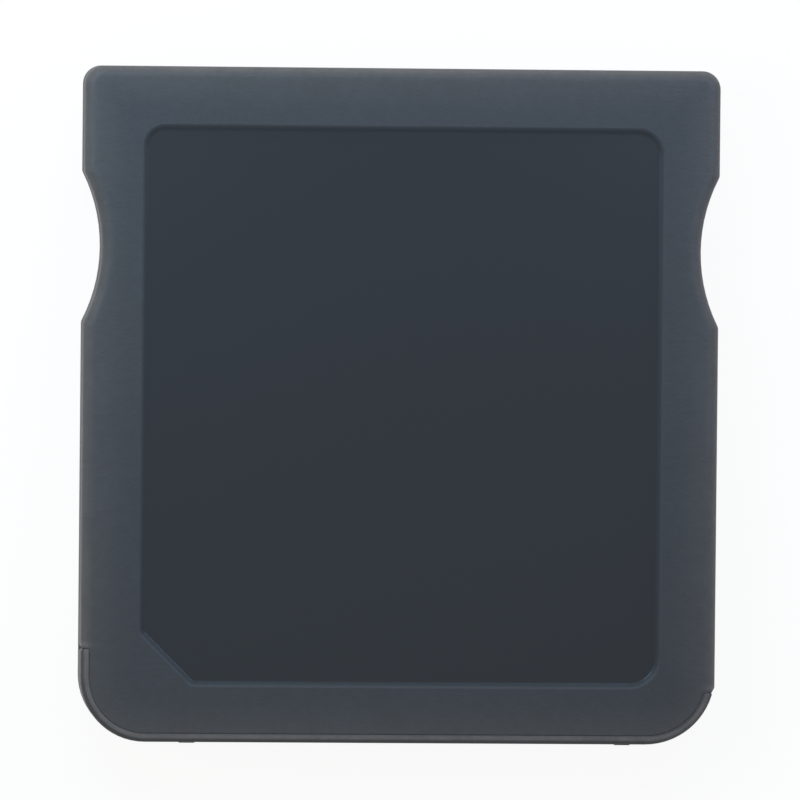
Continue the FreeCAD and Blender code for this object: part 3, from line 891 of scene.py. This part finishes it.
@dataclass(frozen=True)
class Casing:
    """The two moulded shells: the back one has a rim that wraps the nose of the front one."""

    colour: Colour = (0.0308, 0.0345, 0.0396, 1.0)
    # Paler colour of the outer edges: partly scuffing, partly a painted highlight.
    wear_and_highlight_colour: Colour = (0.13, 0.12, 0.115, 1.0)
    label_colour: Colour = (0.0106, 0.0146, 0.0196, 1.0)
    roughness: float = 0.55
    rim_end_left: float = 4.8 * MM
    rim_end_right: float = 2.7 * MM
    # The rim's bead: a paler crest, partly scuffing and partly a painted highlight, and a faint wider band.
    rim_wear_and_highlight_colour: Colour = (0.108, 0.1, 0.097, 1.0)
    rim_highlight_crest: float = 0.29 * MM
    rim_highlight_band: float = 0.04 * MM
    rim_highlight_fade: float = 0.17 * MM
    rim_handled_highlight: float = 0.13
    edge_radius: float = 0.1 * MM

    def build(self) -> None:
        """Dresses the shells, with the floor of the label recess at its mount."""
        mounts = {mount["name"]: mount for mount in frame["record"]["mounts"]}
        plastic = CasingPlastic(
            name="charcoal plastic", colour=self.colour, wear_and_highlight_colour=self.wear_and_highlight_colour,
            roughness=self.roughness, edge_radius=self.edge_radius, label_colour=self.label_colour,
            label_level=mounts["label_recess"]["pos_m"][2], half_size=(cad_box[1].x, cad_box[1].y),
        )
        # The back shell's rim takes a painted highlight along its crest, in the paler colour.
        rim = replace(
            plastic, wear_and_highlight_colour=self.rim_wear_and_highlight_colour, wear_highlight_crest=self.rim_highlight_crest,
            wear_highlight_band=self.rim_highlight_band, wear_highlight_fade=self.rim_highlight_fade, handled_highlight_share=self.rim_handled_highlight,
        )
        rim.dress(["back_shell"])
        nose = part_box("back_shell")[0].y
        rim_ends = (nose + self.rim_end_left, nose + self.rim_end_right)
        lid = replace(plastic, name="charcoal plastic in the rim", wear_highlight_from=rim_ends)
        lid.dress(["front_shell"])


@dataclass(frozen=True)
class ContactBoard:
    """The circuit board, its plated contacts and the tracks that fan in from them to the controller."""

    track_count: int = 8
    via_pitch: float = 1.5 * MM
    lead_pitch: float = 0.8 * MM
    via_from_nose: float = 4.9 * MM
    jog_before_lead: float = 0.6 * MM
    track_half_width: float = 0.06 * MM
    track_height: float = 0.02 * MM
    track_slope: float = 0.02 * MM
    via_radius: float = 0.28 * MM
    via_hole_radius: float = 0.12 * MM
    via_height: float = 0.024 * MM
    via_steps: int = 20
    lacquer: SolderMask = SolderMask(
        name="green lacquer", colour=(0.012, 0.09, 0.035, 1.0), thread_colour=(0.03, 0.14, 0.06, 1.0),
        edge_colour=(0.42, 0.36, 0.2, 1.0), roughness=0.35,
    )
    track_colour: Colour = (0.02, 0.15, 0.06, 1.0)

    def fan(self) -> np.ndarray:
        """Lays the tracks' middle lines: straight from a via, a jog at 45 degrees, and straight to a lead.

        All jogs end at one level, so neighbours stay at least a lead's pitch apart.

        Returns:
            Points of shape (tracks, 4, 2).
        """
        low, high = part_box("controller_leads")
        middle = (low.x + high.x) / 2
        start = middle + row(self.track_count, self.via_pitch)
        end = middle + row(self.track_count, self.lead_pitch)
        first = np.full(self.track_count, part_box("circuit_board")[0].y + self.via_from_nose)
        last = np.full(self.track_count, low.y)
        jog_end = last - self.jog_before_lead
        jog_start = jog_end - np.abs(start - end)
        across = np.stack([start, start, end, end], axis=1)
        along = np.stack([first, jog_start, jog_end, last], axis=1)
        return np.stack([across, along], axis=-1)

    def tracks(self) -> bpy.types.Object:
        """Carries a low trapezoid along each middle line, mitred at its bends.

        Returns:
            The piece with all tracks.
        """
        line = self.fan()
        run = np.diff(line, axis=1)
        way = run / np.linalg.norm(run, axis=2, keepdims=True)
        before = np.concatenate([way[:, :1], way], axis=1)
        after = np.concatenate([way, way[:, -1:]], axis=1)
        square = np.stack([-before[..., 1] - after[..., 1], before[..., 0] + after[..., 0]], axis=-1)
        mitre = square / (1 + np.sum(before * after, axis=2, keepdims=True))
        top = self.track_half_width - self.track_slope
        out = np.array([-self.track_half_width, self.track_half_width, top, -top])
        up = np.array([0.0, 0.0, self.track_height, self.track_height])
        flat = line[:, :, None, :] - mitre[:, :, None, :] * out[:, None]
        level = np.broadcast_to(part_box("circuit_board")[1].z + up, flat.shape[:3])
        points = np.concatenate([flat, level[..., None]], axis=-1)
        return surface_piece("board_tracks", points, closed_path=False)

    def vias(self) -> bpy.types.Object:
        """Carries the section of a ring, a low rectangle with sloped sides, round each track's start.

        Returns:
            The piece with all rings.
        """
        start = self.fan()[:, 0]
        turn = np.arange(self.via_steps) * 2 * math.pi / self.via_steps
        inner, outer, slope = self.via_hole_radius, self.via_radius, self.track_slope
        out = np.array([inner, outer, outer - slope, inner + slope])
        up = np.array([0.0, 0.0, self.via_height, self.via_height])
        round_x = np.cos(turn)[:, None] * out
        round_y = np.sin(turn)[:, None] * out
        level = np.broadcast_to(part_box("circuit_board")[1].z + up, round_x.shape)
        ring = np.stack([round_x, round_y, level], axis=-1)
        places = np.concatenate([start, np.zeros((len(start), 1))], axis=1)
        points = places[:, None, None, :] + ring
        return surface_piece("board_vias", points, closed_path=True)

    def build(self, gold: Finish, tin: Finish) -> None:
        """Dresses the board and its contacts, and adds the tracks.

        Args:
            gold: Finish of the contacts.
            tin: Finish of the rings round the vias.
        """
        self.lacquer.dress(["circuit_board"])
        on_tracks = replace(self.lacquer, name="lacquer on tracks", colour=self.track_colour)
        on_tracks.coat([self.tracks()])
        tin.coat([self.vias()])
        gold.dress(["contact_pads"])


@dataclass(frozen=True)
class CardSocket:
    """Socket of the memory card: a moulded base, a folded steel cover and sprung contacts."""

    spring_count: int = 8
    tail_length: float = 0.7 * MM
    plastic: Finish = MouldedPlastic(
        name="black socket plastic", colour=(0.018, 0.018, 0.02, 1.0),
        wear_and_highlight_colour=(0.05, 0.05, 0.05, 1.0), roughness=0.5, grain_depth=0.006 * MM, edge_mask_reach=0.2 * MM,
    )
    steel: Finish = Metal(
        name="stainless sheet", colour=(0.62, 0.6, 0.57, 1.0), stain_colour=(0.5, 0.48, 0.45, 1.0),
        roughness=0.3,
    )
    bronze: Finish = Metal(
        name="gilt spring bronze", colour=(0.82, 0.6, 0.32, 1.0), stain_colour=(0.66, 0.45, 0.24, 1.0),
        roughness=0.26,
    )

    def build(self, soldering: Soldering) -> None:
        """Dresses the socket, and solders the springs' tails.

        Args:
            soldering: Maker of the joints.
        """
        self.plastic.dress(["card_socket_base"])
        self.steel.dress(["card_socket_cover"])
        springs = [f"card_spring_{number}" for number in range(1, self.spring_count + 1)]
        self.bronze.dress(springs)
        boxes = [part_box(name) for name in springs]
        half_tail = self.tail_length / 2
        feet = np.array([
            ((low.x + high.x) / 2, low.y + half_tail, (high.x - low.x) / 2, half_tail,
             low.z, Side.NOSE.value)
            for low, high in boxes
        ])
        soldering.joints("solder_card_springs", feet)


@dataclass(frozen=True)
class LeadFrame:
    """Leads of one chip: how many stand on each side and how far apart, and how their feet are cut."""

    node: str
    rows: dict[Side, tuple[int, float]]
    lead_width: float
    foot_length: float = 0.5 * MM

    def feet(self) -> np.ndarray:
        """Works out the feet from the box of the leads.

        Returns:
            One row a foot, as Soldering.joints takes them.
        """
        low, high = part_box(self.node)
        middle = (np.array(low) + np.array(high))[:2] / 2
        half = (np.array(high) - np.array(low))[:2] / 2
        found = []
        for side, (count, pitch) in self.rows.items():
            way = np.round([math.cos(side.value), math.sin(side.value)])
            offsets = row(count, pitch)[:, None] * np.array([-way[1], way[0]])
            places = middle + way * (half - self.foot_length / 2) + offsets
            size = np.where(way != 0, self.foot_length, self.lead_width) / 2
            rest = np.array([*size, low.z, side.value])
            found.append(np.concatenate([places, np.broadcast_to(rest, (count, 4))], axis=1))
        return np.concatenate(found)


@dataclass(frozen=True)
class ChipSet:
    """The controller, the boot memory, the voltage regulator and the crystal."""

    lid_height: float = 0.25 * MM
    resin: Finish = MouldedPlastic(
        name="chip resin", colour=(0.014, 0.014, 0.015, 1.0), wear_and_highlight_colour=(0.04, 0.04, 0.04, 1.0),
        roughness=0.62, grain_scale=12000.0, grain_depth=0.008 * MM, edge_mask_reach=0.15 * MM,
    )
    package: LiddedPackage = LiddedPackage(
        name="crystal package", colour=(0.035, 0.024, 0.018, 1.0), lid_colour=(0.66, 0.62, 0.54, 1.0),
    )
    controller: LeadFrame = LeadFrame(
        "controller_leads", rows={side: (8, 0.8 * MM) for side in Side}, lead_width=0.37 * MM,
    )
    boot_memory: LeadFrame = LeadFrame(
        "boot_memory_leads", rows={Side.LEFT: (4, 0.65 * MM), Side.RIGHT: (4, 0.65 * MM)},
        lead_width=0.25 * MM,
    )
    regulator: LeadFrame = LeadFrame(
        "voltage_regulator_leads", rows={Side.GRIP: (3, 0.95 * MM), Side.NOSE: (2, 1.9 * MM)},
        lead_width=0.4 * MM,
    )

    def build(self, tin: Finish, soldering: Soldering) -> None:
        """Dresses the chips and solders their leads.

        Args:
            tin: Finish of the leads.
            soldering: Maker of the joints.
        """
        self.resin.dress(["controller_chip", "boot_memory_chip", "voltage_regulator"])
        frames = (self.controller, self.boot_memory, self.regulator)
        tin.dress([leads.node for leads in frames])
        for leads in frames:
            soldering.joints("solder_" + leads.node.removesuffix("_leads"), leads.feet())
        lid_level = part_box("crystal")[1].z - self.lid_height
        replace(self.package, lid_level=lid_level).dress(["crystal"])


@dataclass(frozen=True)
class SmallParts:
    """Capacitors, resistors and resistor arrays, each with two end terminals."""

    counts: dict[str, int] = field(default_factory=lambda: {
        "bulk_capacitor": 4, "small_capacitor": 6, "resistor": 6, "resistor_array": 2})
    terminal_length: float = 0.22 * MM
    tin_colour: Colour = (0.62, 0.61, 0.58, 1.0)
    capacitor_colour: Colour = (0.23, 0.13, 0.065, 1.0)
    resistor_colour: Colour = (0.62, 0.6, 0.55, 1.0)
    glaze_colour: Colour = (0.02, 0.02, 0.022, 1.0)

    def names(self, kind: str) -> list[str]:
        """Names of the parts of one kind."""
        return [f"{kind}_{number}" for number in range(1, self.counts[kind] + 1)]

    def feet(self, names: Sequence[str]) -> np.ndarray:
        """Works out the terminals of parts from their boxes.

        Args:
            names: Names of the parts.

        Returns:
            One row a terminal, as Soldering.joints takes them.
        """
        half = self.terminal_length / 2
        found = []
        for name in names:
            low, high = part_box(name)
            middle, half_width = (low.y + high.y) / 2, (high.y - low.y) / 2
            found.append((low.x + half, middle, half, half_width, low.z, Side.LEFT.value))
            found.append((high.x - half, middle, half, half_width, low.z, Side.RIGHT.value))
        return np.array(found)

    def build(self, soldering: Soldering) -> None:
        """Dresses the parts and solders their terminals.

        Args:
            soldering: Maker of the joints.
        """
        ceramic = EndTerminals(
            name="capacitor ceramic", colour=self.capacitor_colour, top_colour=self.capacitor_colour,
            tin_colour=self.tin_colour, terminal_length=self.terminal_length,
        )
        glazed = replace(
            ceramic, name="resistor ceramic", colour=self.resistor_colour, top_colour=self.glaze_colour,
        )
        for kind in self.counts:
            finish = ceramic if kind.endswith("capacitor") else glazed
            finish.dress(self.names(kind))
            soldering.joints(f"solder_{kind}s", self.feet(self.names(kind)))


@dataclass(frozen=True)
class Softbox:
    """A square soft lamp that faces the card."""

    name: str
    place: tuple[float, float, float]
    side: float
    power: float
    colour: tuple[float, float, float]
    in_gloss: bool = False

    def hang(self) -> None:
        """Hangs the lamp, out of the camera's sight."""
        light = bpy.data.lights.new(self.name, "AREA")
        light.shape = "SQUARE"
        light.size = self.side
        light.energy = self.power
        light.color = self.colour
        lamp = bpy.data.objects.new(self.name, light)
        lamp.location = self.place
        lamp.rotation_mode = "QUATERNION"
        lamp.rotation_quaternion = Vector(self.place).to_track_quat("Z", "Y")
        lamp.visible_camera = False
        lamp.visible_glossy = self.in_gloss
        bpy.context.scene.collection.objects.link(lamp)


@dataclass(frozen=True)
class Studio:
    """Pale floor, soft lamps and a white room round the card."""

    floor_half: float = 1.5
    floor_drop: float = 0.02 * MM
    floor_colour: Colour = (0.88, 0.88, 0.88, 1.0)
    floor_glow: float = 0.92
    room_light: float = 0.3
    lamps: tuple[Softbox, ...] = (
        Softbox(
            "left grip lamp", place=(-0.03, 0.03, 0.05), side=0.03, power=0.0212,
            colour=(0.45, 0.74, 1.0), in_gloss=True,
        ),
        Softbox(
            "right grip lamp", place=(0.03, 0.03, 0.05), side=0.03, power=0.0128,
            colour=(0.42, 0.67, 1.0), in_gloss=True,
        ),
        Softbox(
            "key lamp", place=(-0.1, -0.005, 0.055), side=0.06, power=0.0495, colour=(1.0, 0.93, 0.82),
        ),
        Softbox("end lamp", place=(0.0, 0.14, 0.03), side=0.08, power=0.215, colour=(0.98, 0.91, 0.84)),
        Softbox("side lamp", place=(0.14, -0.01, 0.014), side=0.05, power=0.1, colour=(1.0, 0.95, 0.98)),
    )

    def seen(self, wiring: Wiring) -> Socket:
        """Finds the rays that show the surroundings: from the camera, off gloss and through glass.

        Args:
            wiring: Wiring of the floor's or the room's shader.

        Returns:
            One for such rays, and nought for the rest.
        """
        path = wiring.add("LightPath")
        shown = wiring.maths("MAXIMUM", path.outputs["Is Camera Ray"], path.outputs["Is Glossy Ray"])
        return wiring.maths("MAXIMUM", shown, path.outputs["Is Transmission Ray"])

    def floor(self) -> None:
        """Lays the floor: part of its white is its own, and the rest is lit and takes the shadow."""
        reach = self.floor_half
        mesh = bpy.data.meshes.new("floor")
        corners = [(-reach, -reach), (reach, -reach), (reach, reach), (-reach, reach)]
        mesh.from_pydata([(x, y, -self.floor_drop) for x, y in corners], [], [(0, 1, 2, 3)])
        made = bpy.data.materials.new("pale floor")
        made.use_nodes = True
        made.node_tree.nodes.clear()
        wiring = Wiring(made.node_tree)
        lit = wiring.add("BsdfDiffuse", {"Color": self.floor_colour})
        glow = wiring.add("Emission", {"Color": WHITE, "Strength": 1.0})
        share = wiring.maths("MULTIPLY", self.seen(wiring), self.floor_glow)
        both = wiring.add("MixShader", {0: share, 1: lit.outputs[0], 2: glow.outputs[0]})
        wiring.add("OutputMaterial", {"Surface": both.outputs[0]})
        mesh.materials.append(made)
        piece = bpy.data.objects.new("floor", mesh)
        bpy.context.scene.collection.objects.link(piece)

    def room(self) -> None:
        """Fills the room with even light, and shows it white."""
        world = bpy.data.worlds.new("studio")
        world.use_nodes = True
        world.node_tree.nodes.clear()
        wiring = Wiring(world.node_tree)
        strength = wiring.step(self.seen(wiring), 0.0, 1.0, self.room_light, 1.0)
        shade = wiring.add("Background", {"Color": WHITE, "Strength": strength})
        wiring.add("OutputWorld", {"Surface": shade.outputs[0]})
        bpy.context.scene.world = world

    def build(self) -> None:
        """Lays the floor, lights the room and hangs the lamps."""
        self.floor()
        self.room()
        for lamp in self.lamps:
            lamp.hang()
        bpy.context.scene.view_settings.view_transform = "Standard"


@dataclass(frozen=True)
class Viewpoint:
    """Camera that looks down on the label side, from a little to the left and to the grip end."""

    picture_pixels: float = 800.0
    pixels_per_mm: float = 19.3
    centre_pixels: tuple[float, float] = (401.2, 406.2)
    lean_to_left_deg: float = 4.0
    lean_to_grip_deg: float = 1.65
    roll_deg: float = 0.44
    distance: float = 0.6
    sensor: float = 36.0
    nearest: float = 0.01
    farthest: float = 10.0

    def build(self) -> None:
        """Places the camera so that the card stands in the picture where it stood for the photograph."""
        lens = bpy.data.cameras.new("camera")
        lens.sensor_width = self.sensor
        lens.lens = self.sensor * self.distance * self.pixels_per_mm / (self.picture_pixels * MM)
        lens.clip_start = self.nearest
        lens.clip_end = self.farthest
        middle = self.picture_pixels / 2
        across = (middle - self.centre_pixels[0]) / self.pixels_per_mm * MM
        along = (self.centre_pixels[1] - middle) / self.pixels_per_mm * MM
        level = Matrix.Translation((0.0, 0.0, cad_box[1].z))
        to_grip = Matrix.Rotation(-math.radians(self.lean_to_grip_deg), 4, "X")
        to_left = Matrix.Rotation(-math.radians(self.lean_to_left_deg), 4, "Y")
        roll = Matrix.Rotation(math.radians(self.roll_deg), 4, "Z")
        back = Matrix.Translation((across, along, self.distance))
        camera = bpy.data.objects.new("camera", lens)
        camera.matrix_world = level @ to_grip @ to_left @ roll @ back
        bpy.context.scene.collection.objects.link(camera)
        bpy.context.scene.camera = camera


def main() -> None:
    """Dresses the card from the casing inwards, and sets up the studio."""
    plating = Plating()
    soldering = Soldering(plating.solder)
    Casing().build()
    ContactBoard().build(plating.gold, plating.tin)
    CardSocket().build(soldering)
    ChipSet().build(plating.tin, soldering)
    SmallParts().build(soldering)
    Studio().build()
    Viewpoint().build()


if __name__ == "__main__":
    logging.basicConfig(level=logging.INFO, format="%(message)s")
    main()
